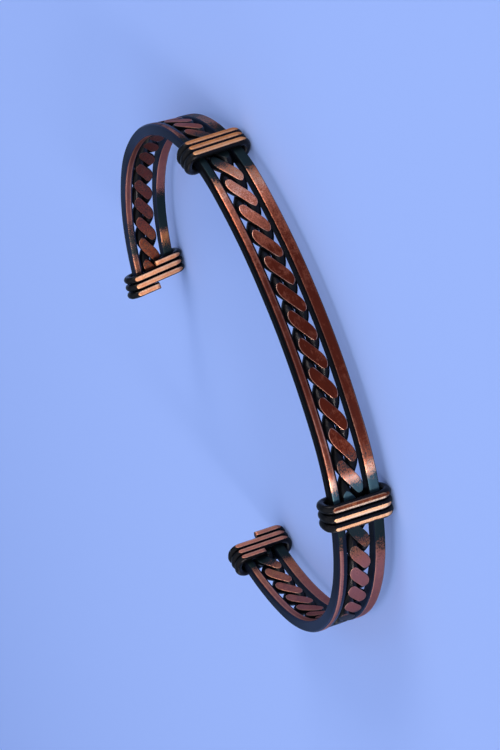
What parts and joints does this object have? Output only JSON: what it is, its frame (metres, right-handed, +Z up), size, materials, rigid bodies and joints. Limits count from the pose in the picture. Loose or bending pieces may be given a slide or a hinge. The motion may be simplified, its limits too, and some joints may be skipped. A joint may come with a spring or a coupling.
{
  "type": "cuff bracelet",
  "caption": "Open copper cuff of two side rails with a twist of round wire between them, flattened and bound by wire wraps at its ends and shoulders.",
  "frame": {"origin": "middle of the object's box at floor level, on the surface that the cuff lies on", "axes": "+Z up along the wrist axis, from the wide rail to the narrow one; -Y out through the middle of the front; +Y through the opening between the ends; +X towards the high shoulder"},
  "size_m": [0.0694, 0.0484, 0.009],
  "materials": {
    "antiqued_copper": "copper, ground satin, darkened in its recesses",
    "antiqued_copper_twist": "copper, ground flats over a near-black patina",
    "copper_wrap": "copper, polished faces, dark grooves"
  },
  "bodies": {
    "root": {"rail_narrow": "antiqued_copper", "rail_wide": "antiqued_copper", "twist_strand_a": "antiqued_copper_twist", "twist_strand_b": "antiqued_copper_twist", "wrap_end_low": "copper_wrap", "wrap_shoulder_low": "copper_wrap", "wrap_shoulder_high": "copper_wrap", "wrap_end_high": "copper_wrap"}
  },
  "joints": []
}
